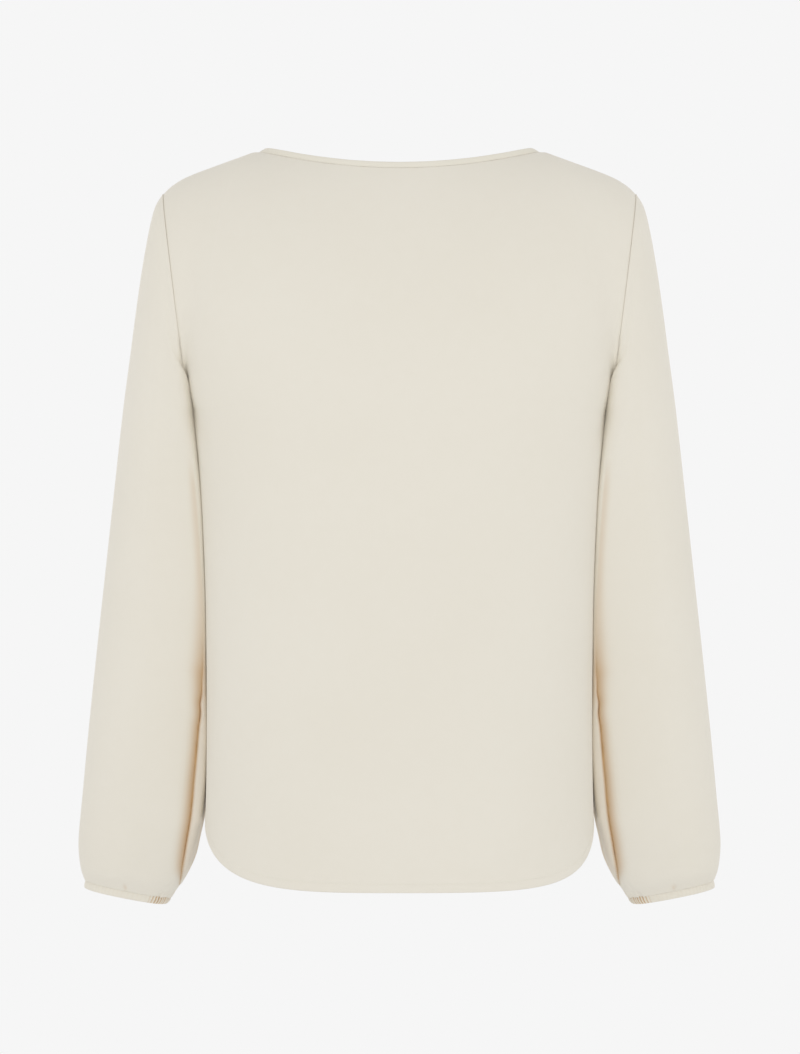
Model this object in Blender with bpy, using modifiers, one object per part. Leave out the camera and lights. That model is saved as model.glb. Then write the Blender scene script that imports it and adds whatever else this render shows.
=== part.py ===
# Cream blouse with long sleeves, filled out as if worn, modelled at its real size in metres.
# +Z is up, -Y is the blouse's back, +Y its front, +X the wearer's right.
# The origin lies midway between the two neck ends of the shoulder seams, where the shoulders carry it.

import math

import bmesh
import bpy
import numpy as np
from mathutils import Vector

MM = 0.001

# Cloth and seams
CLOTH = 1.2 * MM
SEAM_GAP = 0.3 * MM
CREAM = (0.79, 0.75, 0.66, 1.0)
CLOTH_ROUGHNESS = 0.62

# Driving sizes of the cut, measured on the filled garment
UNDERARM_Z = -230 * MM
SHOULDER_TIP = Vector((205 * MM, 0.0, -40.5 * MM))
UNDERARM = Vector((181.5 * MM, 0.0, UNDERARM_Z))
NECK_HALF_WIDTH = 122 * MM
NECK_Z = -4.0 * MM
BACK_NECK_DROP = 23.8 * MM
BACK_NECK_DEPTH = 66 * MM
FRONT_NECK_DROP = 104 * MM
FRONT_NECK_DEPTH = 105 * MM
BACK_NECK_CURVE = 1.85
FRONT_NECK_CURVE = 1.8
CENTRE_HEM_Z = -635 * MM
HEM_RISE = 50 * MM
HEM_ROUNDING_LEFT = 2.4
HEM_ROUNDING_RIGHT = 2.85
HEM_FLATNESS = 0.35
BODY_EXPONENT = 2.5
SHOULDER_ROUNDING = 8.5 * MM
SHOULDER_STRAIGHTNESS = 8

# Sections of the body below the underarm: height, half width, depth of the back, depth of the front
BODY_SECTIONS = (
    # z, half_width, back, front
    (-230, 181.5, 121.2, 129.4),
    (-262, 179.2, 121.8, 130),
    (-310, 174.5, 121, 128),
    (-350, 172.0, 119, 125),
    (-390, 170.2, 118, 122),
    (-437, 169.5, 119, 121),
    (-500, 170.0, 122, 122),
    (-560, 170.5, 125, 124),
    (-650, 171.0, 128, 126),
)

# Soft folds that hang down the front: where they lie between the side seams, their reach to each side,
# how far they stand out or sink in, and the heights where they begin and are full
BODY_FOLDS = (
    # share, reach, depth, top_z, full_z
    (0.10, 0.034, -3.6, -300, -540),
    (0.185, 0.036, 4.2, -270, -520),
    (0.275, 0.036, -3.4, -330, -600),
    (0.375, 0.044, 3.4, -360, -600),
    (0.475, 0.040, -2.6, -420, -640),
    (0.590, 0.046, 3.6, -340, -590),
    (0.690, 0.036, -3.6, -320, -610),
    (0.790, 0.040, 4.4, -280, -530),
    (0.895, 0.034, -3.8, -310, -560),
)

# Armhole ring: how far it bows to the back and front, and how far it is scooped towards the neck
ARMHOLE_BACK_DEPTH = 62 * MM
ARMHOLE_FRONT_DEPTH = 58 * MM
ARMHOLE_BACK_SCOOP = 1.2 * MM
ARMHOLE_FRONT_SCOOP = 13 * MM

# Sections of a sleeve after the armhole: outer point, how far the inner side stands off the body, height
# there, half depth, and how far the section swings to the front
SLEEVE_SECTIONS = (
    # outer_x, outer_z, stand_off, inner_z, half_depth, forward
    (211.5, -52, 1.4, -238, 61, 2),
    (216.8, -72, 1.5, -245, 62, 4),
    (223.2, -106, 1.6, -256, 63, 8),
    (228.6, -141, 1.8, -269, 64, 12),
    (233.4, -175, 1.8, -285, 64, 16),
    (240.8, -228, 1.8, -311, 63, 21),
    (249.0, -297, 1.8, -352, 61, 27),
    (257.1, -367, 2.0, -402, 58, 32),
    (265.3, -438, 3.0, -458, 55, 37),
    (273.2, -509, 5.0, -518, 52, 43),
    (278.6, -562, 9.0, -570, 50, 48),
    (282.3, -598, 16.0, -604, 47, 51),
    (282.9, -615, 22.0, -622, 44, 53),
    (281.1, -631, 29.0, -641, 39, 54),
    (277.9, -641.6, 40.5, -656.4, 28, 55),
)
SLEEVE_EXPONENT = 2.25
SEAM_ROLL = 0.7 * MM
SLEEVE_ROWS = 19

# The long crease down the inner side of each sleeve
CREASE_ANGLE = math.radians(33)
CREASE_WIDTH = math.radians(9)
CREASE_DEPTH = 6 * MM
CREASE_TOP_Z = -430 * MM
CREASE_FULL_Z = -540 * MM

# Elastic casing at the wrist
CUFF_HEIGHT = 7 * MM
CUFF_WALL = 1.3 * MM
CUFF_TAPER = 2.6 * MM
CUFF_GATHERS = 66
POINTS_PER_GATHER = 3
GATHER_HEIGHT = 1.0 * MM
GATHER_LEAST = 0.45

# Narrow binding round the neck
BINDING_WIDTH = 5.2 * MM
BINDING_WALL = 1.8 * MM
BINDING_PROUD = 0.4 * MM
BINDING_STAND = 1.6
BINDING_STAND_AT_SHOULDER = 0.8
STAND_STATIONS = 2.5
NECK_SEAM_GAP = 0.45 * MM

# Grid of each panel
SHOULDER_COLUMNS = 5
NECK_COLUMNS = 18
LOWER_ROWS = 9
UPPER_ROWS = 16
ARMHOLE_CROWDING = 0.45
SHOULDER_TURN = math.radians(90)
SIDE_CROWDING = 0.185
EDGE_FADE = 2.0
SOLVING_ROUNDS = 40
SOLVING_STEP = 0.8
RING_STEPS = 200
SHARP_ANGLE = math.radians(40)

BACK = -1.0
FRONT = 1.0


def clear_scene():
    for obj in list(bpy.data.objects):
        bpy.data.objects.remove(obj)


def smooth_table(rows, key, at):
    """The row of a table at a value of its key column, on a smooth curve through all its rows."""
    table = np.array(rows, float)
    order = np.argsort(table[:, key])
    table = table[order]
    x = table[:, key]
    at = min(max(at, x[0]), x[-1])
    i = int(np.clip(np.searchsorted(x, at) - 1, 0, len(x) - 2))
    slopes = np.gradient(table, x, axis=0)
    step = x[i + 1] - x[i]
    t = (at - x[i]) / step
    return (
        (2 * t**3 - 3 * t**2 + 1) * table[i]
        + (t**3 - 2 * t**2 + t) * step * slopes[i]
        + (3 * t**2 - 2 * t**3) * table[i + 1]
        + (t**3 - t**2) * step * slopes[i + 1]
    )


def even_points(points, count):
    """That many points evenly spaced along a line of points, its two ends included."""
    points = np.array([tuple(p) for p in points])
    run = np.concatenate([[0], np.cumsum(np.linalg.norm(np.diff(points, axis=0), axis=1))])
    places = np.linspace(0, run[-1], count)
    return [Vector([np.interp(s, run, points[:, k]) for k in range(3)]) for s in places]


def half_ring(z, side):
    """The body's section on one side, back or front, as a finely spaced line from left to right."""
    _, half_width, back, front = smooth_table(BODY_SECTIONS, 0, z / MM) * MM
    depth = back if side == BACK else front
    ring = []
    for angle in np.linspace(0, math.pi, 121):
        c, s = math.cos(angle), math.sin(angle)
        ring.append(
            Vector(
                (
                    -half_width * math.copysign(abs(c) ** (2 / BODY_EXPONENT), c),
                    side * depth * abs(s) ** (2 / BODY_EXPONENT),
                    z,
                )
            )
        )
    return ring


def fold_height(z, share):
    """How far the hanging folds move the front out at a height and a place between its seams."""
    height = 0.0
    for at, reach, depth, top_z, full_z in BODY_FOLDS:
        grown = min(1, max(0, (top_z - z / MM) / (top_z - full_z)))
        height += depth * MM * grown * math.exp(-(((share - at) / reach) ** 2))
    return height


def ring_point(ring, share):
    """The point at a share of an evenly spaced line, and the line's direction there."""
    place = share * RING_STEPS
    low = min(int(place), RING_STEPS - 1)
    return ring[low].lerp(ring[low + 1], place - low), ring[low + 1] - ring[low]


def body_point(z, share, side):
    """A point of the body below the underarm, share being 0 at the left seam and 1 at the right."""
    point, along = ring_point(even_points(half_ring(z, side), RING_STEPS + 1), share)
    if side == FRONT:
        point += Vector((-along.y, along.x, 0)).normalized() * fold_height(z, share)
    return point


def body_half_width(z, y):
    """How far the body reaches to the side at a height and a place to the back or front."""
    _, half_width, back, front = smooth_table(BODY_SECTIONS, 0, z / MM) * MM
    depth = back if y < 0 else front
    return half_width * (1 - abs(y / depth) ** BODY_EXPONENT) ** (1 / BODY_EXPONENT)


def hem_height(share):
    """The hem dips from the side seams to the middle of the panel, with rounded corners."""
    from_middle = abs(2 * share - 1)
    rounding = (HEM_ROUNDING_LEFT if share < 0.5 else HEM_ROUNDING_RIGHT) - HEM_FLATNESS * (1 - from_middle)
    return CENTRE_HEM_Z + HEM_RISE * 0.5 * (1 - math.cos(math.pi * from_middle**rounding))


def shoulder_height(x):
    """Height of the shoulder line at a distance from the middle, rounded down at its tip."""
    along = (x - NECK_HALF_WIDTH) / (SHOULDER_TIP.x - NECK_HALF_WIDTH)
    straight = NECK_Z + (SHOULDER_TIP.z + SHOULDER_ROUNDING - NECK_Z) * along
    return straight - SHOULDER_ROUNDING * along**SHOULDER_STRAIGHTNESS


def neck_point(angle, side):
    """A point of the neck seam, angle running from 0 at the left shoulder to pi at the right."""
    drop = BACK_NECK_DROP if side == BACK else FRONT_NECK_DROP
    depth = BACK_NECK_DEPTH if side == BACK else FRONT_NECK_DEPTH
    fall = math.sin(angle) ** (BACK_NECK_CURVE if side == BACK else FRONT_NECK_CURVE)
    x, y = -NECK_HALF_WIDTH * math.cos(angle), side * depth * math.sin(angle)
    return Vector((x, y, NECK_Z - (drop + NECK_Z) * fall))


def top_line(side):
    """The panel's top edge: left shoulder seam, neck seam, right shoulder seam."""
    shoulder = []
    for along in np.linspace(1, 0, 25):
        x = NECK_HALF_WIDTH + (SHOULDER_TIP.x - NECK_HALF_WIDTH) * along
        shoulder.append(Vector((-x, 0, shoulder_height(x))))
    left = even_points(shoulder, SHOULDER_COLUMNS + 1)
    neck = even_points([neck_point(a, side) for a in np.linspace(0, math.pi, 121)], NECK_COLUMNS + 1)
    right = [Vector((-p.x, p.y, p.z)) for p in reversed(left)]
    return left + neck[1:] + right[1:]


def armhole_point(turn, side):
    """A point of the left armhole seam, turn running from 0 at the underarm to 1 at the shoulder tip."""
    angle = math.pi * (1 - turn)
    middle = (SHOULDER_TIP + UNDERARM) / 2
    reach = (SHOULDER_TIP - UNDERARM) / 2
    depth = ARMHOLE_BACK_DEPTH if side == BACK else ARMHOLE_FRONT_DEPTH
    scoop = ARMHOLE_BACK_SCOOP if side == BACK else ARMHOLE_FRONT_SCOOP
    point = middle + reach * math.cos(angle)
    point.x -= scoop * math.sin(angle) ** 2
    return Vector((-point.x, side * depth * math.sin(angle), point.z))


def crowded(count, crowding):
    """Shares from 0 to 1 in that many steps, closer together at both ends."""
    turns = [2 * math.pi * i / count for i in range(count + 1)]
    return [(turn - crowding * math.sin(turn)) / (2 * math.pi) for turn in turns]


def rolled_point(ring, side, place, turn, ridge_z):
    """A point of the body above the underarm.

    Each column rolls on a quarter ellipse from the ring at the underarm towards a ridge over the shoulders,
    which it would meet at place. Turn is how far it has rolled. The armhole draws nearby columns along."""
    base, _ = ring_point(ring, column_share(place))
    level, lift = 1 - math.cos(turn), math.sin(turn)
    point = Vector((base.x + (place - base.x) * level, base.y * (1 - level), 0))
    point.z = base.z + (ridge_z - base.z) * lift
    seam_x = UNDERARM.x + (SHOULDER_TIP.x - UNDERARM.x) * level
    seam_z = UNDERARM.z + (SHOULDER_TIP.z - UNDERARM.z) * lift
    pull = armhole_point(turn / SHOULDER_TURN, side) - Vector((-seam_x, 0, seam_z))
    if place > 0:
        pull.x = -pull.x
    return point + pull * abs(2 * column_share(place) - 1) ** EDGE_FADE


def column_share(place):
    """The share of the ring at the underarm where a column starts, from where it meets the ridge."""
    along = abs(place) / SHOULDER_TIP.x
    return 0.5 + math.copysign(along + SIDE_CROWDING * math.sin(math.pi * along), place) / 2


def column_course(ring, side, target):
    """Place, turn and ridge height of the column that ends at a point of the top edge."""
    if abs(target.x) > NECK_HALF_WIDTH - 0.01 * MM:
        return target.x, SHOULDER_TURN, target.z
    depth = ring[RING_STEPS // 2].y
    place, turn, ridge_z = target.x * 0.85, math.radians(63), 0.0
    for _ in range(SOLVING_ROUNDS):
        miss = target - rolled_point(ring, side, place, turn, ridge_z)
        place += SOLVING_STEP * miss.x
        turn = min(SHOULDER_TURN, turn - SOLVING_STEP * miss.y / depth)
        ridge_z += SOLVING_STEP * miss.z
    return place, turn, ridge_z


def panel_rows(side):
    """The outer surface of the back or front, row by row from the hem to the neck."""
    ring = even_points(half_ring(UNDERARM_Z, side), RING_STEPS + 1)
    courses = [column_course(ring, side, target) for target in top_line(side)]
    rows = []
    for up in np.linspace(0, 1, LOWER_ROWS + 1):
        row = []
        for place, _, _ in courses:
            share = column_share(place)
            low = hem_height(share)
            row.append(body_point(low + (UNDERARM_Z - low) * up, share, side))
        rows.append(row)
    for up in crowded(UPPER_ROWS, ARMHOLE_CROWDING)[1:]:
        rows.append([rolled_point(ring, side, place, turn * up, ridge_z) for place, turn, ridge_z in courses])
    for row in rows:
        for point in row:
            point.y += side * SEAM_GAP / 2
    return rows


def sleeve_angles():
    """Angles round a sleeve, from its inner side by the back: those of the panels' rows at the armhole."""
    half = [math.pi * turn for turn in crowded(UPPER_ROWS, ARMHOLE_CROWDING)]
    return half + [2 * math.pi - angle for angle in half[-2:0:-1]]


def sleeve_ring(section, angles):
    """One ring of the left sleeve, starting at its inner side and turning by its back."""
    outer_x, outer_z, stand_off, inner_z, half_depth, forward = (value * MM for value in section)
    outer = Vector((-outer_x, forward, outer_z))
    inner = Vector((-body_half_width(inner_z, forward) - stand_off, forward, inner_z))
    middle, reach = (outer + inner) / 2, (inner - outer) / 2
    grown = min(1, max(0, (CREASE_TOP_Z - middle.z) / (CREASE_TOP_Z - CREASE_FULL_Z)))
    ring = []
    for angle in angles:
        c, s = math.cos(angle), math.sin(angle)
        across = math.copysign(abs(c) ** (2 / SLEEVE_EXPONENT), c)
        back = math.copysign(abs(s) ** (2 / SLEEVE_EXPONENT), s)
        dent = CREASE_DEPTH * grown * math.exp(-(((angle - CREASE_ANGLE) / CREASE_WIDTH) ** 2))
        inwards = Vector((-c * reach.length, s * half_depth, 0)).normalized()
        ring.append(middle + reach * across - Vector((0, half_depth * back, 0)) + dent * inwards)
    return ring


def armhole_ring(angles, roll):
    """The armhole seam as a ring of the sleeve, a seam's gap off the body and rolled out by so much."""
    reach = SHOULDER_TIP - UNDERARM
    away = Vector((-reach.z, 0, -reach.x)).normalized()
    ring = []
    for angle in angles:
        side = BACK if angle <= math.pi else FRONT
        turn = angle / math.pi if side == BACK else 2 - angle / math.pi
        ring.append(armhole_point(turn, side) + away * (SEAM_GAP + roll * (1 + turn)))
    return ring


def even_on_curve(points, count):
    """Points on a smooth curve through these, spaced evenly by their number along the curve."""
    table = [(i, *p) for i, p in enumerate(points)]
    return [Vector(smooth_table(table, 0, s)[1:]) for s in np.linspace(0, len(points) - 1, count)]


def sleeve_rings():
    """Rings of the left sleeve from the armhole to the wrist, the first edge rolled square to the seam."""
    angles = sleeve_angles()
    keys = [armhole_ring(angles, SEAM_ROLL)] + [sleeve_ring(section, angles) for section in SLEEVE_SECTIONS]
    runs = [even_on_curve([ring[i] for ring in keys], SLEEVE_ROWS) for i in range(len(angles))]
    return [armhole_ring(angles, 0)] + [[run[r] for run in runs] for r in range(SLEEVE_ROWS)]


def cloth_material(name):
    material = bpy.data.materials.new(name)
    material.use_nodes = True
    shader = material.node_tree.nodes["Principled BSDF"]
    shader.inputs["Base Color"].default_value = CREAM
    shader.inputs["Roughness"].default_value = CLOTH_ROUGHNESS
    shader.inputs["Metallic"].default_value = 0.0
    return material


def add_object(name, mesh, collection):
    """The mesh as a named object with its own material, in the collection."""
    mesh.shade_smooth()
    mesh.materials.append(cloth_material(name + "_crepe"))
    obj = bpy.data.objects.new(name, mesh)
    collection.objects.link(obj)
    return obj


def cloth_wall(name, rows, collection, closed=False, flip=False):
    """A cloth wall: an open surface through the rows, made solid inwards."""
    mesh = bpy.data.meshes.new(name)
    work = bmesh.new()
    grid = [[work.verts.new(p) for p in row] for row in rows]
    width = len(rows[0])
    for low, high in zip(grid, grid[1:]):
        for i in range(width if closed else width - 1):
            k = (i + 1) % width
            corners = (low[i], low[k], high[k], high[i])
            work.faces.new(corners[::-1] if flip else corners)
    work.to_mesh(mesh)
    work.free()
    obj = add_object(name, mesh, collection)
    solid = obj.modifiers.new("Cloth", "SOLIDIFY")
    solid.thickness = CLOTH
    solid.offset = -1
    solid.use_even_offset = True
    solid.use_quality_normals = True
    return obj


def closed_band(name, sections, collection):
    """A closed band: the same small section carried round a loop."""
    mesh = bpy.data.meshes.new(name)
    work = bmesh.new()
    grid = [[work.verts.new(p) for p in section] for section in sections]
    sides = len(sections[0])
    for here, there in zip(grid, grid[1:] + grid[:1]):
        for k in range(sides):
            work.faces.new((here[k], here[(k + 1) % sides], there[(k + 1) % sides], there[k]))
    bmesh.ops.recalc_face_normals(work, faces=work.faces)
    work.to_mesh(mesh)
    work.free()
    add_object(name, mesh, collection)
    mesh.set_sharp_from_angle(angle=SHARP_ANGLE)


def mirrored(rows):
    return [[Vector((-p.x, p.y, p.z)) for p in row] for row in rows]


def cuff_sections():
    """Sections of the left wrist casing, gathered on its outside and plain on its inside."""
    count = CUFF_GATHERS * POINTS_PER_GATHER
    last = sleeve_ring(SLEEVE_SECTIONS[-1], [2 * math.pi * i / count for i in range(count)])
    middle = sum(last, Vector()) / count
    across = (last[0] - last[count // 2]).normalized()
    down = Vector((across.z, 0, -across.x)).normalized()
    sections = []
    for i, point in enumerate(last):
        away = (point - middle).normalized()
        inner_side = 0.5 + 0.5 * math.cos(2 * math.pi * i / count)
        height = GATHER_HEIGHT * (GATHER_LEAST + (1 - GATHER_LEAST) * inner_side**2)
        wave = 0 if i % POINTS_PER_GATHER == 0 else height
        top = point + down * SEAM_GAP - away * CUFF_WALL * 0.5
        bottom = top + down * CUFF_HEIGHT - across * CUFF_TAPER * inner_side**2
        sections.append(
            (
                top + away * wave,
                bottom + away * wave,
                bottom - away * CUFF_WALL,
                top - away * CUFF_WALL,
            )
        )
    return sections


def neck_stations(back_rows, front_rows):
    """Points round the neck seam with the panels' normals there, along the back and then the front."""
    first, last = SHOULDER_COLUMNS, SHOULDER_COLUMNS + NECK_COLUMNS
    normals = {}
    for side, rows in ((BACK, back_rows), (FRONT, front_rows)):
        for i in range(first, last + 1):
            rise = rows[-1][i] - rows[-2][i]
            before, after = rows[-1][i] - rows[-1][i - 1], rows[-1][i + 1] - rows[-1][i]
            normals[side, i] = -side * (before.cross(rise).normalized() + after.cross(rise).normalized())
    stations = []
    back_order, front_order = range(first, last), range(last, first, -1)
    for side, rows, order in ((BACK, back_rows, back_order), (FRONT, front_rows, front_order)):
        for i in order:
            shared = i in (first, last)
            normal = normals[BACK, i] + normals[FRONT, i] if shared else normals[side, i]
            point = (back_rows[-1][i] + front_rows[-1][i]) / 2 if shared else rows[-1][i]
            stations.append((point, normal))
    return stations


def binding_sections(back_rows, front_rows):
    """Sections of the neck binding, a seam's gap above the top edges of both panels."""
    stations = neck_stations(back_rows, front_rows)
    count = len(stations)
    sections = []
    for i, (point, normal) in enumerate(stations):
        along = (stations[(i + 1) % count][0] - stations[i - 1][0]).normalized()
        from_shoulder = min(i % NECK_COLUMNS, -i % NECK_COLUMNS)
        grown = min(1, from_shoulder / STAND_STATIONS)
        stand = BINDING_STAND_AT_SHOULDER + (BINDING_STAND - BINDING_STAND_AT_SHOULDER) * grown
        rise = normal.cross(along).normalized() + Vector((0, 0, stand))
        up = (rise - along * rise.dot(along)).normalized()
        normal = along.cross(up)
        low = point + up * NECK_SEAM_GAP
        high = low + up * BINDING_WIDTH
        proud, inner = normal * BINDING_PROUD, normal * (BINDING_PROUD - BINDING_WALL)
        sections.append((low + proud, high + proud, high + inner, low + inner))
    return sections


def main():
    clear_scene()
    collection = bpy.data.collections.new("blouse")
    bpy.context.scene.collection.children.link(collection)
    back_rows, front_rows = panel_rows(BACK), panel_rows(FRONT)
    cloth_wall("back_panel", back_rows, collection)
    cloth_wall("front_panel", front_rows, collection, flip=True)
    rings = sleeve_rings()
    cloth_wall("sleeve_left", rings, collection, closed=True)
    cloth_wall("sleeve_right", mirrored(rings), collection, closed=True, flip=True)
    cuff = cuff_sections()
    closed_band("cuff_left", cuff, collection)
    closed_band("cuff_right", mirrored(cuff), collection)
    closed_band("neck_binding", binding_sections(back_rows, front_rows), collection)


main()
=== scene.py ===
import math

import bpy
import numpy as np
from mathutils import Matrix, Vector


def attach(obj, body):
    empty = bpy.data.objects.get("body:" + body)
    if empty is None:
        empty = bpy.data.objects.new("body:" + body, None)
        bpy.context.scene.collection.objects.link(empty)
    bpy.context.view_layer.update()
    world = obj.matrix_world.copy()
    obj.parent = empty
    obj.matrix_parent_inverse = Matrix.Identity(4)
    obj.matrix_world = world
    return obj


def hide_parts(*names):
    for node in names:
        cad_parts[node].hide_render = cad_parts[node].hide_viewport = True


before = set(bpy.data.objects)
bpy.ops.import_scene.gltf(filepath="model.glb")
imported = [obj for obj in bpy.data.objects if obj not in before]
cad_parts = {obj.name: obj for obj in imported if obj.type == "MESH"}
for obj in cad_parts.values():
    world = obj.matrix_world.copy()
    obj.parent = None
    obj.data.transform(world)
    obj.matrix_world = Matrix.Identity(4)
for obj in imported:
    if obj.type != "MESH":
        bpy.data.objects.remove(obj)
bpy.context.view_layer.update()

mm = 0.001
print("frame loaded:", ", ".join(sorted(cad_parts)))


# small tools for curves and grids

def signedPower(value, power):
    return np.sign(value) * np.abs(value) ** power


def tableAt(rows, at):  # columns of a table after its first, on a smooth curve through its rows
    table = np.array(rows, float)
    table = table[np.argsort(table[:, 0])]
    key = table[:, 0]
    at = np.clip(np.asarray(at, float), key[0], key[-1])
    low = np.clip(np.searchsorted(key, at) - 1, 0, len(key) - 2)
    slopes = np.gradient(table, key, axis=0)
    step = (key[low + 1] - key[low])[..., None]
    t = (at - key[low])[..., None] / step
    value = (
        (2 * t**3 - 3 * t**2 + 1) * table[low]
        + (t**3 - 2 * t**2 + t) * step * slopes[low]
        + (3 * t**2 - 2 * t**3) * table[low + 1]
        + (t**3 - t**2) * step * slopes[low + 1]
    )
    return [value[..., k] for k in range(1, table.shape[1])]


def lengths(vectors):
    return np.linalg.norm(vectors, axis=-1)


def runAlong(points):  # distance from the first point, along a line or along each column of a grid
    step = lengths(np.diff(points, axis=0))
    return np.concatenate([np.zeros_like(step[:1]), np.cumsum(step, axis=0)])


def runAcross(points, middle):  # distance along each row of a grid from its middle column
    run = runAlong(points.swapaxes(0, 1)).T
    return run - run[:, middle : middle + 1]


def pointsAt(at, key, points):  # points of a line where its key takes other values
    return np.stack([np.interp(at, key, points[:, k]) for k in range(points.shape[1])], axis=-1)


def alongLine(points, share):  # points at even shares of a line's length
    run = runAlong(points)
    return pointsAt(share * run[-1], run, points)


def unit(vectors):
    return vectors / np.maximum(np.linalg.norm(vectors, axis=-1, keepdims=True), 1e-12)


def smoothStep(low, high, value):
    t = np.clip((value - low) / (high - low), 0, 1)
    return t * t * (3 - 2 * t)


def bell(off, width, sharpness=2):  # 1 in the middle, falling away to both sides
    return np.exp(-np.abs(off / width) ** sharpness)


def bells(off, parts):  # a sum of bells: weight, width, sharpness
    return sum(weight * bell(off, width, sharpness) for weight, width, sharpness in parts)


def gridNormals(points, ringed):
    if ringed:
        wrapped = np.concatenate([points[:, -1:], points, points[:, :1]], axis=1)
        across = np.gradient(wrapped, axis=1)[:, 1:-1]
    else:
        across = np.gradient(points, axis=1)
    return unit(np.cross(across, np.gradient(points, axis=0)))


def creaseHeight(across, up, creases):
    # each crease runs between two places in mm: a soft trough with a low swell on both sides,
    # fading at its ends
    height = np.zeros_like(across)
    for x0, y0, x1, y1, reach, depth, bow in creases:
        line = np.array([x1 - x0, y1 - y0], float)
        length = np.hypot(*line)
        line /= length
        dx, dy = across / mm - x0, up / mm - y0
        place = np.clip((dx * line[0] + dy * line[1]) / length, 0, 1)
        off = dx * line[1] - dy * line[0] - bow * 4 * place * (1 - place)
        fade = (4 * place * (1 - place)) ** 0.8
        swell = bell(np.abs(off) - 2.1 * reach, 1.2 * reach)
        height += depth * mm * fade * (0.4 * swell - bell(off, reach))
    return height


def placed(name, data):  # an object in the scene
    item = bpy.data.objects.new(name, data)
    bpy.context.scene.collection.objects.link(item)
    return item


def meshPiece(name, points, faces, places, shade):
    # a mesh with its cloth's grain as a map in metres and a colour mask of painted shade, mostly set by its
    # creases' depth
    mesh = bpy.data.meshes.new(name)
    mesh.from_pydata(points.reshape(-1, 3).tolist(), [], faces.tolist())
    layer = mesh.uv_layers.new(name="ClothGrain")
    layer.uv.foreach_set("vector", places.astype(np.float32).ravel())
    mask = mesh.attributes.new("creaseShade", "FLOAT", "POINT")
    mask.data.foreach_set("value", np.clip(shade, 0, 1).astype(np.float32).ravel())
    mesh.shade_smooth()
    return placed(name, mesh)


def gridFaces(rows, columns, ringed, closed, flipped):  # ringed closes the rows and closed the columns
    index = np.arange(rows * columns).reshape(rows, columns)
    if ringed:
        index = np.concatenate([index, index[:, :1]], axis=1)
    if closed:
        index = np.concatenate([index, index[:1]])
    corners = [index[:-1, :-1], index[:-1, 1:], index[1:, 1:], index[1:, :-1]]
    return np.stack(corners, axis=-1).reshape(-1, 4)[:, :: -1 if flipped else 1]


def gridPiece(name, points, flatPlaces, shade, ringed, flipped):  # a shell of cloth on the grid
    faces = gridFaces(*points.shape[:2], ringed, False, flipped)
    grain = flatPlaces.reshape(-1, 2)[faces.reshape(-1)]
    if ringed:  # the faces that close the ring take the far side's grain as running on
        turn = 2 * flatPlaces[0, -1, 0] - flatPlaces[0, -2, 0] - flatPlaces[0, 0, 0]
        corners = grain.reshape(-1, 4, 2)
        wide = np.ptp(corners[:, :, 0], axis=1) > 0.5 * turn
        low = corners[:, :, 0] < np.mean(corners[:, :, 0], axis=1, keepdims=True)
        corners[:, :, 0] += np.where(wide[:, None] & low, turn, 0)
        grain = corners.reshape(-1, 2)
    piece = meshPiece(name, points, faces, grain, shade)
    wall = piece.modifiers.new("clothWall", "SOLIDIFY")
    wall.thickness = cloth["thickness"]
    wall.offset = -1
    wall.use_even_offset = False
    return piece


def bandPiece(name, points, places, shade, flipped):  # a band closed both ways
    faces = gridFaces(*points.shape[:2], True, True, flipped)
    return meshPiece(name, points, faces, places.reshape(-1, 2)[faces.reshape(-1)], shade)


# what every piece shares

cloth = {
    "thickness": 0.8 * mm,
    "seamGap": 0.03 * mm,
    "seamDip": 0.07 * mm,      # how far a panel turns in at its seams
    "seamReach": 1.1 * mm,
    "puckerHeight": 0.1 * mm,
    "puckerPitch": 14 * mm,
    "puckerReach": 7 * mm,
    "shadeReach": 1.0 * mm,
    "deepCrease": 3.5 * mm,    # a crease this deep takes the full shade
}


def seamDip(distance, along):  # the turned-in edge at a seam, with faint puckers beside it
    edge = bell(distance, cloth["seamReach"])
    beat = along / cloth["puckerPitch"] * 2 * math.pi
    ripple = np.sin(beat) * 0.6 + np.sin(beat * 1.73 + 0.8) * 0.4
    near = np.exp(-distance / cloth["puckerReach"]) * (1 - edge)
    return cloth["puckerHeight"] * ripple * near - cloth["seamDip"] * edge


# the body: back and front

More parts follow.
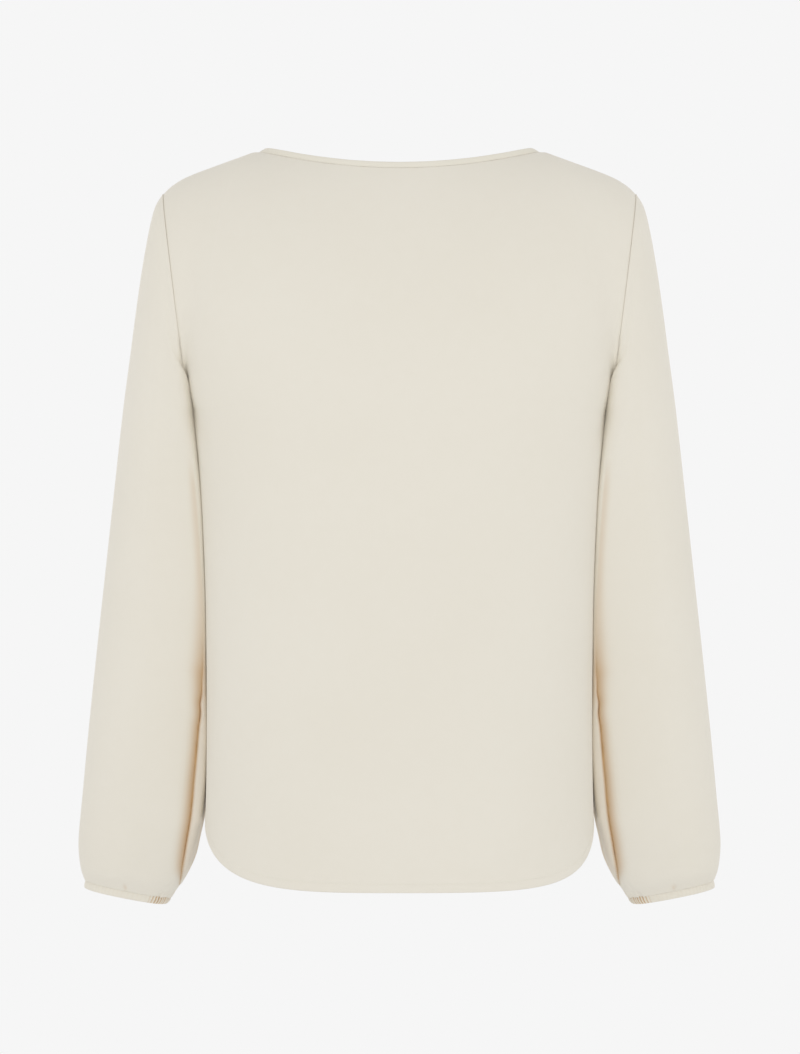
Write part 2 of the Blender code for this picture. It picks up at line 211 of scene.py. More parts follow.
body = {
    "underarm": (181.5 * mm, -230 * mm),      # half width and height
    "shoulderTip": (205 * mm, -40.5 * mm),
    "shoulderRounding": 8.5 * mm,
    "shoulderStraightness": 8,
    "neckHalfWidth": 122 * mm,
    "neckHeight": -4.0 * mm,
    "hemMiddle": -635 * mm,
    "hemRise": 50 * mm,
    "hemRounding": (2.4, 2.85),   # left and right corner
    "hemFlatness": 0.35,
    "hemBand": 8 * mm,
    "hemStep": 0.35 * mm,
    "stitchLine": 0.93,        # share of the hem's band
    "stitchDip": 0.22 * mm,
    "hemPucker": (0.1 * mm, 9 * mm),  # height and pitch
    "roundness": 2.5,
    "sideCrowding": 0.185,
    "edgeFade": 2.0,           # how fast the armhole's pull on the cloth fades towards the middle
    "neckStart": (0.85, 63),   # first guess at the neck: share of a column's place, degrees it rolls
    "solvingRounds": 60,
    "solvingShare": 0.8,
    "shoulderColumns": 5,
    "neckColumns": 18,
    "columnSteps": 5,
    "lowerRows": 84,
    "upperRows": 62,
    # places of the close columns at a seam, of the close rows at the hem and the top edge in mm,
    # and the lengths in m that these rows are a share of
    "seamColumns": (0, 0.007, 0.05, 0.12, 0.22, 0.36, 0.6, 1.0),
    "hemRows": (0, 0.5, 1.2, 2.2, 4, 6, 7.2, 7.8, 8.4, 9.2, 10.5, 13),
    "topRows": (4.6, 3, 1.9, 1.1, 0.5, 0),
    "lowerLength": 0.4,
    "upperLength": 0.2,
    "creaseShade": 0.5,
    "seamShade": 0.04,
    # height, half width, depth of the back, depth of the front
    "sections": (
        (-230, 181.5, 121.2, 129.4),
        (-262, 178.3, 121.8, 130),
        (-310, 173.6, 121, 128),
        (-350, 170.7, 119, 125),
        (-390, 168.7, 118, 122),
        (-437, 167.5, 119, 121),
        (-500, 167.1, 122, 122),
        (-560, 167.8, 125, 124),
        (-650, 170.6, 128, 126),
    ),
    # the front's hanging folds: share between the seams, reach, depth, heights where they begin
    # and are full
    "folds": (
        (0.100, 0.034, -3.6, -300, -540),
        (0.185, 0.036, 4.2, -270, -520),
        (0.275, 0.036, -3.4, -330, -600),
        (0.375, 0.044, 3.4, -360, -600),
        (0.475, 0.040, -2.6, -420, -640),
        (0.590, 0.046, 3.6, -340, -590),
        (0.690, 0.036, -3.6, -320, -610),
        (0.790, 0.040, 4.4, -280, -530),
        (0.895, 0.034, -3.8, -310, -560),
    ),
}
backPanel = {
    "side": -1,
    "neckDrop": 23.8 * mm,
    "neckDepth": 66 * mm,
    "neckCurve": 1.85,
    "armholeDepth": 62 * mm,
    "armholeScoop": 1.2 * mm,
    # from and to in mm, across from the middle and up from the hem, then reach, depth and bow
    "creases": (
        (-232, 392, -176, 352, 11, 0.5, 4),
        (233, 388, 180, 350, 10, 0.5, -4),
        (-214, 60, -190, 190, 12, 0.45, 6),
        (216, 76, 194, 214, 12, 0.4, -6),
    ),
    "flat": (0.52, 0.66),
}
frontPanel = {
    "side": 1,
    "neckDrop": 104 * mm,
    "neckDepth": 105 * mm,
    "neckCurve": 1.8,
    "armholeDepth": 58 * mm,
    "armholeScoop": 13 * mm,
    "creases": (
        (-236, 402, -120, 330, 9, 1.5, 12),
        (-230, 372, -146, 286, 10, 1.1, 8),
        (238, 398, 132, 322, 9, 1.4, -13),
        (232, 364, 150, 262, 11, 1.0, -8),
        (-150, 560, -92, 452, 9, 0.9, -7),
        (146, 566, 84, 446, 9, 1.0, 8),
        (-70, 210, 36, 196, 12, 0.7, 5),
        (22, 268, 128, 238, 11, 0.8, -6),
        (-176, 168, -88, 128, 10, 0.9, 6),
        (92, 120, 182, 158, 10, 0.8, 6),
    ),
    "flat": (0.52, 0.63),
}


def topLine(panel, place):
    # the panel's top edge from the left shoulder tip over the neck to the right one,
    # place counting columns
    tipX, tipZ = body["shoulderTip"]
    along = np.linspace(1, 0, 121)
    x = body["neckHalfWidth"] + (tipX - body["neckHalfWidth"]) * along
    straight = body["neckHeight"] + (tipZ + body["shoulderRounding"] - body["neckHeight"]) * along
    z = straight - body["shoulderRounding"] * along ** body["shoulderStraightness"]
    shoulder = np.stack([-x, np.zeros_like(x), z], axis=-1)
    angle = np.linspace(0, math.pi, 361)
    fall = np.sin(angle) ** panel["neckCurve"]
    neck = np.stack(
        [
            -body["neckHalfWidth"] * np.cos(angle),
            panel["side"] * panel["neckDepth"] * np.sin(angle),
            body["neckHeight"] - (panel["neckDrop"] + body["neckHeight"]) * fall,
        ],
        axis=-1,
    )
    first = body["shoulderColumns"]
    last = first + body["neckColumns"]
    left = alongLine(shoulder, np.clip(place / first, 0, 1))
    middle = alongLine(neck, np.clip((place - first) / body["neckColumns"], 0, 1))
    right = alongLine(shoulder, np.clip((last + first - place) / first, 0, 1)) * [-1, 1, 1]
    return np.where((place < first)[:, None], left, np.where((place > last)[:, None], right, middle))


def armhole(panel, turn):  # the left armhole seam, turn from 0 at the underarm to 1 at the shoulder tip
    angle = math.pi * (1 - turn)
    tip, low = np.array(body["shoulderTip"]), np.array(body["underarm"])
    middle, reach = (tip + low) / 2, (tip - low) / 2
    x = middle[0] + reach[0] * np.cos(angle) - panel["armholeScoop"] * np.sin(angle) ** 2
    z = middle[1] + reach[1] * np.cos(angle)
    return np.stack([-x, panel["side"] * panel["armholeDepth"] * np.sin(angle), z], axis=-1)


def bodyDepth(z, side):
    halfWidth, back, front = tableAt(body["sections"], z / mm)
    return halfWidth * mm, (back if side < 0 else front) * mm


def bodyHalfWidth(z, y):  # how far the body reaches to the side at a height and a place to the front
    halfWidth, front = bodyDepth(z, 1)
    back = bodyDepth(z, -1)[1]
    near = np.clip(np.abs(y / np.where(y > 0, front, back)), 0, 1)
    return halfWidth * (1 - near ** body["roundness"]) ** (1 / body["roundness"])


def hemHeight(share):
    fromMiddle = np.abs(2 * share - 1)
    left, right = body["hemRounding"]
    rounding = np.where(share < 0.5, left, right) - body["hemFlatness"] * (1 - fromMiddle)
    return body["hemMiddle"] + body["hemRise"] * 0.5 * (1 - np.cos(math.pi * fromMiddle**rounding))


def ringPoints(panel, share, z):  # the body's section, by the share of its length from the left seam
    halfWidth, depth = bodyDepth(z, panel["side"])
    power = 2 / body["roundness"]
    angle = np.linspace(0, math.pi, 721)
    run = np.hypot(np.diff(np.mean(halfWidth) * signedPower(np.cos(angle), power)),
                   np.diff(np.mean(depth) * signedPower(np.sin(angle), power)))
    run = np.concatenate([[0], np.cumsum(run)])
    place = np.interp(share * run[-1], run, angle)
    x = -halfWidth * signedPower(np.cos(place), power)
    return x, panel["side"] * depth * signedPower(np.sin(place), power)


def lowerBody(panel, share, up):
    low = hemHeight(share)
    rows = []
    for level in up:
        z = low + (body["underarm"][1] - low) * level
        x, y = ringPoints(panel, share, z)
        row = np.stack([x, y, z], axis=-1)
        if panel["side"] > 0:
            out = unit(np.stack([-np.gradient(y), np.gradient(x)], axis=-1))
            height = np.zeros_like(share)
            for at, reach, depthOfFold, topZ, fullZ in body["folds"]:
                grown = smoothStep(topZ, fullZ, z / mm)
                height += depthOfFold * mm * grown * bell(share - at, reach)
            row[:, :2] += out * height[:, None]
        rows.append(row)
    return np.array(rows)


def columnShare(place):  # share of the underarm ring where a column starts, by where it meets the ridge
    along = np.abs(place) / body["shoulderTip"][0]
    return 0.5 + np.sign(place) * (along + body["sideCrowding"] * np.sin(math.pi * along)) / 2


def rolledPoints(panel, place, turn, ridge):
    # each column rolls on a quarter ellipse from the underarm ring to a ridge over the shoulders,
    # and the armhole draws nearby columns along
    (tipX, tipZ), (lowX, lowZ) = body["shoulderTip"], body["underarm"]
    share = columnShare(place)
    x, y = ringPoints(panel, share, np.full_like(share, lowZ))
    level, lift = 1 - np.cos(turn), np.sin(turn)
    point = np.stack([x + (place - x) * level, y * (1 - level), lowZ + (ridge - lowZ) * lift], axis=-1)
    seam = np.stack([-lowX - (tipX - lowX) * level, 0 * level, lowZ + (tipZ - lowZ) * lift], axis=-1)
    pull = armhole(panel, turn / (math.pi / 2)) - seam
    pull[..., 0] *= np.where(place > 0, -1, 1)
    return point + pull * (np.abs(2 * share - 1) ** body["edgeFade"])[..., None]


def columnCourses(panel, target):
    # where each column meets the ridge, its turn at the top edge, and the ridge's height
    startShare, startTurn = body["neckStart"]
    neck = np.abs(target[:, 0]) < body["neckHalfWidth"] - 0.01 * mm
    place = target[:, 0] * np.where(neck, startShare, 1)
    turn = np.where(neck, math.radians(startTurn), math.pi / 2)
    ridge = target[:, 2] * np.where(neck, 0, 1)
    depth = bodyDepth(body["underarm"][1], panel["side"])[1] * panel["side"]
    for _ in range(body["solvingRounds"]):
        miss = (target - rolledPoints(panel, place, turn, ridge)) * neck[:, None] * body["solvingShare"]
        place = place + miss[:, 0]
        turn = np.minimum(turn - miss[:, 1] / depth, math.pi / 2)
        ridge = ridge + miss[:, 2]
    return place, turn, ridge


def edgeSteps(total, edge, even):  # places from 0 to the total, crowded at both ends
    inner = np.linspace(edge[-1], total - edge[-1], even)
    return np.concatenate([edge[:-1], inner, total - np.array(edge[:-1])[::-1]])


def panelPiece(name, panel):
    columns = 2 * body["shoulderColumns"] + body["neckColumns"]
    place = edgeSteps(columns, body["seamColumns"], (columns - 2) * body["columnSteps"] + 1)
    ridgePlace, turn, ridge = columnCourses(panel, topLine(panel, place))
    share = columnShare(ridgePlace)
    hemRows = np.array(body["hemRows"]) * mm / body["lowerLength"]
    lowUp = np.concatenate([hemRows, np.linspace(hemRows[-1], 1, body["lowerRows"])[1:]])
    lower = lowerBody(panel, share, lowUp)
    topUp = 1 - np.array(body["topRows"]) * mm / body["upperLength"]
    upper = np.concatenate([np.linspace(0, topUp[0], body["upperRows"])[1:-1], topUp])
    places = np.tile(ridgePlace, (len(upper), 1))
    rolled = rolledPoints(panel, places, upper[:, None] * turn, ridge)
    points = np.concatenate([lower, rolled]) + [0, panel["side"] * cloth["seamGap"] / 2, 0]
    outward = gridNormals(points, False) * -panel["side"]

    middle = len(place) // 2
    across, up = runAcross(points, middle), runAlong(points)
    sideGap = np.minimum(lengths(points - points[:, :1]), lengths(points - points[:, -1:]))
    topGap = lengths(points - points[-1:])
    hem = up / body["hemBand"]
    height = creaseHeight(across, up, panel["creases"])
    seams = seamDip(sideGap, up) + seamDip(topGap, across)
    hemDouble = body["hemStep"] * (1 - smoothStep(0.95, 1.06, hem)) * smoothStep(0, 0.09, hem)
    stitchDip = -body["stitchDip"] * bell(up - body["stitchLine"] * body["hemBand"], 0.5 * mm)
    puckerHeight, puckerPitch = body["hemPucker"]
    hemPucker = puckerHeight * np.sin(across / puckerPitch * 2 * math.pi) * bell(hem - 1, 0.8)
    points = points + outward * (height + seams + hemDouble + stitchDip + hemPucker)[..., None]
    # painted shade: darker along the seams and in the creases
    seamShade = bell(sideGap, cloth["shadeReach"]) + bell(topGap, cloth["shadeReach"])
    creaseShade = np.clip(-height / cloth["deepCrease"], 0, 1)
    shade = body["creaseShade"] * creaseShade + body["seamShade"] * seamShade
    piece = gridPiece(name, points, np.stack([across, up], axis=-1), shade, False, panel["side"] > 0)
    return piece, points, outward, place


backShell, backPoints, backOut, panelPlace = panelPiece("blouse_back", backPanel)
frontShell, frontPoints, frontOut, panelPlace = panelPiece("blouse_front", frontPanel)
print("body panels made:", len(backShell.data.vertices) + len(frontShell.data.vertices), "points")


# the sleeves

sleeve = {
    "seamRoll": 0.7 * mm,
    "shoulderFall": 2.1,       # how steeply the sleeve leaves the shoulder tip
    "roundness": 2.25,
    # the quarter beside the body on the back is squarer: height, roundness
    "innerRoundness": (
        (-230, 2.4), (-242, 2.8), (-258, 4.6), (-285, 8), (-311, 11),
        (-352, 13), (-440, 14), (-590, 13), (-625, 6), (-650, 2.5),
    ),
    "offBody": 0.12 * mm,      # the cloth lies along the body's side this far off it
    "bodyEdge": 14 * mm,       # how far to the back the body's edge lies
    "cornerLean": 0.06,        # how much the inner corner leans over it
    # how far it covers the edge: height, mm
    "cornerOver": (
        (-110, 0.3), (-140, 0.8), (-167, 1.8), (-184, 2.9), (-202, 3.9), (-219, 4.5),
        (-240, 4.2), (-262, 3.7), (-300, 2.9), (-350, 1.4), (-400, 0.8), (-450, 0.4),
    ),
    "leanReach": 6 * mm,
    "leanBegins": 4 * mm,      # behind the body's edge
    "leanRows": (-60 * mm, -110 * mm, -430 * mm, -480 * mm),  # heights where it grows and fades
    "leanColumns": math.radians(100),
    "wallRows": (-236 * mm, -222 * mm),    # heights where the body's line takes over from the sleeve's
    "besideRows": (-228 * mm, -236 * mm),  # heights where the sleeve begins to lie beside the body
    "closeSteps": 0.5,         # degrees between columns round the inner corner
    "closeZone": (-12, 50),
    "wideColumns": 153,
    "startRows": (0.04, 0.09),         # extra rows, as shares of the first and last stretch
    "endRows": (0.05, 0.02, 0),
    # rows in each stretch between two sections
    "rowsBetween": (7, 4, 6, 6, 6, 8, 11, 13, 24, 24, 18, 12, 8, 9, 9),
    # outer point, how far the inner side stands off the body, its height, half depth, swing to the front
    "sections": (
        (211.5, -52, 1.4, -238, 61, 2),
        (216.8, -72, 1.5, -245, 62, 4),
        (223.2, -106, 1.6, -256, 63, 8),
        (228.6, -141, 1.8, -269, 64, 12),
        (233.4, -175, 1.8, -285, 64, 16),
        (240.8, -228, 1.8, -311, 63, 21),
        (249, -297, 1.8, -352, 61, 27),
        (257.1, -367, 2, -402, 58, 32),
        (265.3, -438, 3, -458, 55, 37),
        (273.2, -509, 4.5, -518, 52, 43),
        (278.6, -562, 8.8, -570, 50, 48),
        (282.3, -598, 15.4, -604, 47, 51),
        (282.9, -615, 20.2, -622, 44, 53),
        (281.1, -631, 29.5, -641, 39, 54),
        (277.9, -641.6, 41, -656.4, 28, 55),
    ),
    # the long inner crease: height, how far from the middle, depth, shade of its band, its core
    # and the strip on its inner side, reach
    "longCrease": (
        (-250, 182, 0, 0.2, 0, 0, 4),
        (-300, 176.5, 0, 0.25, 0, 0, 5),
        (-380, 171.5, 0, 0.3, 0, 0, 5),
        (-411, 170.2, 0, 0.35, 0, 0.1, 7),
        (-428, 169.8, 0.4, 0.45, 0.05, 0.2, 8),
        (-446, 169.4, 1.2, 0.65, 0.15, 0.3, 9),
        (-457, 169.4, 2.2, 0.85, 0.5, 0.35, 9.5),
        (-465.5, 169.9, 3.2, 0.85, 0.95, 0.4, 8.5),
        (-474.5, 170.4, 3.6, 0.85, 1, 0.4, 8),
        (-483, 172.3, 4, 0.82, 1, 0.26, 6.5),
        (-491, 172, 4, 0.82, 1, 0.2, 6.5),
        (-504, 173.8, 4.1, 0.82, 1, 0.16, 6.3),
        (-524, 175.7, 4.2, 0.82, 1, 0.16, 6.3),
        (-550, 178.3, 4.6, 0.84, 1, 0.16, 6.5),
        (-586, 182, 4.7, 0.84, 1, 0.16, 6.8),
        (-603, 184.9, 4.5, 0.84, 1, 0.18, 7),
        (-620, 187.6, 4, 0.84, 1, 0.2, 7),
        (-630, 189.4, 3.4, 0.84, 1, 0.18, 7),
        (-639, 191.8, 2.6, 0.8, 1, 0.12, 7),
        (-648, 195.8, 1.2, 0.5, 0.6, 0, 6),
        (-655, 199.5, 0, 0, 0, 0, 6),
    ),
    # from and to in mm, round from the inner side by the back and down from the origin,
    # then reach, depth and bow
    "creases": (
        (-24, 300, -92, 352, 8, 1.5, 8),
        (-30, 336, -112, 372, 8, 1.8, 9),
        (-26, 378, -104, 392, 9, 1.6, 8),
        (-34, 408, -96, 404, 8, 1.2, 6),
        (-14, 250, -60, 292, 8, 1.1, 6),
        (-120, 96, -150, 168, 10, 0.9, 6),
        (-60, 520, -84, 610, 8, 1.0, 5),
        (-120, 500, -132, 590, 9, 0.9, -5),
    ),
    "shadeFrom": (236 * mm, 275 * mm),     # how far down the long crease's shade grows
    "creaseShade": 0.3,
    "seamShade": 0.03,
    "wallShade": 0.2,
    "gatherReach": 17 * mm,
    "gatherHeight": 0.75 * mm,
    "shortGather": 6 * mm,
    "pinch": 0.12 * mm,
    # one small tuck above the casing: share of the girth, depth, reach, lean, then height and length
    "tuck": (0.262, 0.9 * mm, 1.5, 0.35, 5, 4),
    "tuckShade": 3.2 * mm,     # a tuck this deep takes the full shade
    # the inner corner sinks just above the casing: depth, place and reach round, height and length
    "cornerDip": (1.1 * mm, 26, 11, 6, 3.6),
    "flat": (0.40, 0.63),
    "area": 0.225,
}
cuff = {
    "gathers": 66,
    "stepsPerGather": 8,
    "height": 7 * mm,
    "wall": 1.3 * mm,
    "taper": 2.6 * mm,
    "gatherHeight": 1.25 * mm,
    "unevenness": 0.35,
    "least": 0.03,             # how strong the gathers are in the middle of the back
    "hidden": 0.62,            # and on the hidden side
    "ripple": 0.12 * mm,
    "grainSpread": 1.4,        # the gathered cloth is longer than the girth
    # painted shade in the valleys of the gathers
    "shade": (1.35, 1.9),      # strength and power
    # share of the casing's height, how far out from its middle line in mm, how much it gathers
    "profile": (
        (0.0, 0.22, 0.6), (0.02, 0.5, 0.8), (0.08, 0.62, 0.9), (0.15, 0.52, 0.8),
        (0.24, 0.62, 1.0), (0.4, 0.72, 1.15), (0.58, 0.74, 1.2), (0.76, 0.66, 1.1),
        (0.9, 0.5, 1.0), (0.97, 0.3, 0.8), (1.0, -0.1, 0.5), (0.97, -0.5, 0.25),
        (0.85, -0.7, 0.15), (0.5, -0.78, 0.15), (0.15, -0.7, 0.15), (0.0, -0.4, 0.2),
    ),
    "flat": (0.24, 0.01),
    "area": 0.0022,
}
nearFrom, nearTo = sleeve["closeZone"]
sleeveAngles = np.radians(np.sort(np.concatenate([
    np.arange(nearFrom, nearTo, sleeve["closeSteps"]),
    np.linspace(nearTo, 360 + nearFrom, sleeve["wideColumns"] + 1)[:-1],
]) % 360))


def gatherStrength(angle):  # strongest at the sleeve's inner side, least in the middle of its back
    turn = angle / math.pi
    inner = 1 - smoothStep(42 / 180, 66 / 180, np.minimum(turn, 2 - turn))
    hidden = smoothStep(1.02, 1.25, turn) * (1 - smoothStep(1.8, 2, turn))
    return cuff["least"] + (1 - cuff["least"]) * np.maximum(inner, cuff["hidden"] * hidden)


def gatherWave(angle):  # 0 in the valleys of the gathers and 1 on their tops
    shift = cuff["unevenness"] * (np.sin(angle * 7 + 0.6) + 0.7 * np.sin(angle * 17 + 2.1))
    return 0.5 - 0.5 * np.cos(angle * cuff["gathers"] + shift)


def sleeveRing(section, angles):
    outerX, outerZ, standOff, innerZ, halfDepth, forward = (value * mm for value in section)
    outer = np.array([-outerX, forward, outerZ])
    inner = np.array([-bodyHalfWidth(innerZ, forward) - standOff, forward, innerZ])
    middle, reach = (outer + inner) / 2, (inner - outer) / 2
    innerBack = np.clip(np.cos(angles), 0, 1) * np.clip(np.sin(angles), 0, 1) * 2
    innerRoundness = float(tableAt(sleeve["innerRoundness"], innerZ / mm)[0])
    power = 2 / (sleeve["roundness"] + (innerRoundness - sleeve["roundness"]) * innerBack)
    across = signedPower(np.cos(angles), power)
    toBack = signedPower(np.sin(angles), power)
    return middle + reach * across[:, None] - toBack[:, None] * [0, halfDepth, 0]


def armholeRing(angles, roll):
    turn = np.where(angles <= math.pi, angles, 2 * math.pi - angles) / math.pi
    ring = np.where((angles <= math.pi)[:, None], armhole(backPanel, turn), armhole(frontPanel, turn))
    lean = np.array(body["shoulderTip"]) - np.array(body["underarm"])
    fall = -lean[0] / lean[1] - sleeve["shoulderFall"] * turn**6
    away = unit(np.stack([-1 + 0 * turn, 0 * turn, fall], axis=-1))
    return ring + away * (cloth["seamGap"] + roll * (1 + turn))[:, None]


def leanToBody(rows):
    # the inner corner leans a little over the seam, and over the body's edge below it
    x, y, z = rows[..., 0], rows[..., 1], rows[..., 2]
    (tipX, tipZ), (lowX, lowZ) = body["shoulderTip"], body["underarm"]
    level = np.clip((2 * z - tipZ - lowZ) / (tipZ - lowZ), -1, 1)
    edge = np.hypot(backPanel["armholeDepth"] * np.sqrt(1 - level**2), sleeve["bodyEdge"])
    beside = bodyHalfWidth(np.minimum(z, lowZ), -edge)
    line = np.where(z > lowZ, lowX + (tipX - lowX) * (level + 1) / 2, beside)
    beyond = np.clip(-y - edge, 0, None)
    begun = smoothStep(0, sleeve["leanBegins"], beyond)
    over = tableAt(sleeve["cornerOver"], z / mm)[0] * mm
    target = line - sleeve["cornerLean"] * beyond - over * begun
    wall = np.min(-x, axis=1, keepdims=True)
    wall = wall + (line + 1 * mm - wall) * smoothStep(*sleeve["wallRows"], z)
    start = np.maximum(wall, target)
    near = np.where(-x < start, 1, bell(-x - start, sleeve["leanReach"]))
    top, full, fading, end = sleeve["leanRows"]
    back = begun * (sleeveAngles < sleeve["leanColumns"]) * smoothStep(top, full, z)
    shift = np.clip(start - target, 0, None) * near * back * smoothStep(end, fading, z)
    return np.stack([x + shift, y, z], axis=-1)


def sleevePoints():
    keys = np.array([armholeRing(sleeveAngles, sleeve["seamRoll"])]
                    + [sleeveRing(section, sleeveAngles) for section in sleeve["sections"]])
    place = [k + np.arange(count) / count for k, count in enumerate(sleeve["rowsBetween"])]
    place += [sleeve["startRows"], len(keys) - 1 - np.array(sleeve["endRows"])]
    place = np.sort(np.concatenate(place))
    table = np.concatenate([np.arange(len(keys))[:, None], keys.reshape(len(keys), -1)], axis=1)
    rows = np.stack(tableAt(table, place), axis=-1).reshape(len(place), len(sleeveAngles), 3)
    rows = leanToBody(rows)
    x, y, z = rows[..., 0], rows[..., 1], rows[..., 2]
    least = bodyHalfWidth(z, y) + sleeve["offBody"] * smoothStep(-231 * mm, -237 * mm, z)
    beside = smoothStep(*sleeve["besideRows"], z)
    rows[..., 0] = np.where(beside > 0, np.minimum(x, -least * beside + x * (1 - beside)), x)
    edge = [armholeRing(sleeveAngles, 0), armholeRing(sleeveAngles, 0.1 * mm)]
    return np.concatenate([edge, rows])


def longCreaseShape(points, around):
    # the crease falls slowly from the sleeve's back and rises fast to the strip on its inner side
    quarter = int(np.searchsorted(sleeveAngles, math.radians(75)))
    heights = points[:, quarter // 3, 2] / mm
    path, depth, band, core, strip, reach = tableAt(sleeve["longCrease"], heights)
    centre = np.array([np.interp(place * mm, -row[:quarter, 0], run[:quarter])
                       for place, row, run in zip(path, points, around)])
    off = (around - centre[:, None]) / mm
    reach = reach[:, None]
    depth = np.clip(depth, 0, None)[:, None] * mm
    band, core, strip = (np.clip(part, 0, 1)[:, None] for part in (band, core, strip))
    outer = bells(off, ((0.6, reach, 1.6), (0.4, 1.5, 1.3)))
    inner = bells(off, ((0.75, 0.9, 1.6), (0.25, 5, 2)))
    dip = depth * np.where(off > 0, outer, inner)
    # painted shade: a brown band and core along the crease, a fainter one on the strip and on the sleeve's
    # inner wall beside the body
    bandShade = band * np.where(off > 0, bell(off, reach, 2.3), bell(off, 1.8))
    coreShade = 1.3 * core * bell(off - 0.4, 1.7, 2.4)
    besideBody = smoothStep(-250, -330, heights)[:, None]
    inWall = sleeve["wallShade"] * smoothStep(-14, -26, off) * besideBody
    stripShade = (strip * smoothStep(0, -1.5, off) + inWall) * smoothStep(-60, -40, off)
    return dip, np.maximum(np.maximum(bandShade, coreShade), stripShade)


def sleevePiece(name, mirror):
    points = sleevePoints()
    outward = gridNormals(points, True)
    outward *= np.sign(np.sum(outward * (points - points.mean(axis=1, keepdims=True))))
    step = lengths(np.roll(points, -1, axis=1) - points)
    ringLength = step.sum(axis=1)
    run = np.cumsum(step, axis=1) - step
    around = np.where(run > ringLength[:, None] / 2, run - ringLength[:, None], run)  # from the inner side
    down = -points.mean(axis=1)[:, 2]
    depthDown = np.repeat(down[:, None], len(sleeveAngles), axis=1)
    fromArmhole = runAlong(points)
    toCuff = fromArmhole[-1:] - fromArmhole
    longDip, longShade = longCreaseShape(points, around)

    small = creaseHeight(around, depthDown, sleeve["creases"])
    strength = gatherStrength(sleeveAngles)
    wave = gatherWave(sleeveAngles) - 0.5
    longWave = np.sin(sleeveAngles * 21 + 0.4) * 0.5 + np.sin(sleeveAngles * 34 + 1.9) * 0.35
    shortFade = bell(toCuff, sleeve["shortGather"], 1.2)
    longFade = bell(toCuff, sleeve["gatherReach"], 1.3)
    gathers = sleeve["gatherHeight"] * strength * (wave * shortFade + longWave * longFade)
    pinch = sleeve["pinch"] * bell(toCuff, 1 * mm)
    share, depth, reach, lean, height, length = sleeve["tuck"]
    above = toCuff / mm - height
    fromTuck = around / mm - ringLength[:, None] / mm * share - lean * above
    tuck = depth * bell(fromTuck, reach) * bell(above, length)
    depth, place, reach, height, length = sleeve["cornerDip"]
    corner = depth * bell(around / mm - place, reach) * bell(toCuff / mm - height, length)
    seam = seamDip(fromArmhole, around)
    points = points + outward * (small + gathers + seam - pinch - tuck - corner - longDip)[..., None]
    # painted shade along the long crease, in the tuck, in the small creases and at the armhole seam
    shade = longShade * smoothStep(*sleeve["shadeFrom"], depthDown) + tuck / sleeve["tuckShade"]
    shade += sleeve["creaseShade"] * np.clip(-small / cloth["deepCrease"], 0, 1)
    shade += sleeve["seamShade"] * bell(fromArmhole, cloth["shadeReach"])
    flatPlaces = np.stack([run, depthDown], axis=-1)
    if mirror:
        points = points * [-1, 1, 1]
    return gridPiece(name, points, flatPlaces, shade, True, not mirror)


leftSleeve = sleevePiece("blouse_sleeve_left", False)
rightSleeve = sleevePiece("blouse_sleeve_right", True)
print("sleeves made:", len(leftSleeve.data.vertices) * 2, "points")


# the elastic casings at the wrists

def cuffPiece(name, mirror):
    count = cuff["gathers"] * cuff["stepsPerGather"]
    angles = 2 * math.pi * np.arange(count) / count
    ring = sleeveRing(sleeve["sections"][-1], angles)
    middle = ring.mean(axis=0)
    across = unit(ring[0] - ring[count // 2])
    down = np.array([across[2], 0, -across[0]])
    if down[2] > 0:
        down = -down
    away = unit(ring - middle)
    strength = gatherStrength(angles)
    wave = gatherWave(angles)
    gathers = wave * strength * cuff["gatherHeight"] + cuff["ripple"] * np.sin(angles * 29 + 1.3)
    rows = []
    for level, out, gather in cuff["profile"]:
        lean = across * cuff["taper"] * level * (0.5 + 0.5 * np.cos(angles))[:, None] ** 2
        base = ring + down * (cloth["seamGap"] + cuff["height"] * level) - lean
        rows.append(base + away * (out * mm - 0.5 * cuff["wall"] + gather * gathers)[:, None])
    points = np.array(rows) * [-1 if mirror else 1, 1, 1]
    girth = lengths(np.roll(ring, -1, axis=0) - ring).sum() * cuff["grainSpread"]
    acrossRows = np.arange(len(rows))[:, None] * mm
    grain = np.stack(np.broadcast_arrays(angles / (2 * math.pi) * girth, acrossRows), axis=-1)
    # painted shade in the valleys of the gathers, strongest where they are deepest
    strong, power = cuff["shade"]
    shade = np.tile(strong * (1 - wave) ** power * strength, (len(rows), 1))
    return bandPiece(name, points, grain, shade, not mirror)


leftCuff = cuffPiece("blouse_cuff_left", False)
rightCuff = cuffPiece("blouse_cuff_right", True)
print("cuffs made:", cuff["gathers"] * 2, "gathers")


# the neck binding

binding = {
    "width": 5.3 * mm,
    "stand": (0.35, 1.6),      # how much it stands up at the shoulders and between them
    "standReach": 40 * mm,
    "seamGap": 0.05 * mm,
    "steps": 420,
    "halfLength": 300 * mm,
    "ripple": 0.07 * mm,
    # painted shade along the seam
    "shades": (0.06, 0.03, 0, 0, 0.08),    # of the first rows of the profile
    # share of the width, then how far out in mm
    "profile": (
        (0.0, -0.2), (0.0, 0.0), (0.05, 0.12), (0.12, 0.14), (0.17, 0.08), (0.23, 0.18),
        (0.36, 0.3), (0.6, 0.38), (0.82, 0.3), (0.95, 0.05), (1.0, -0.35), (0.97, -0.95),
        (0.85, -1.25), (0.5, -1.4), (0.15, -1.35), (0.0, -1.0),
    ),
    "flat": (0.64, 0.01),
    "area": 0.0048,
}


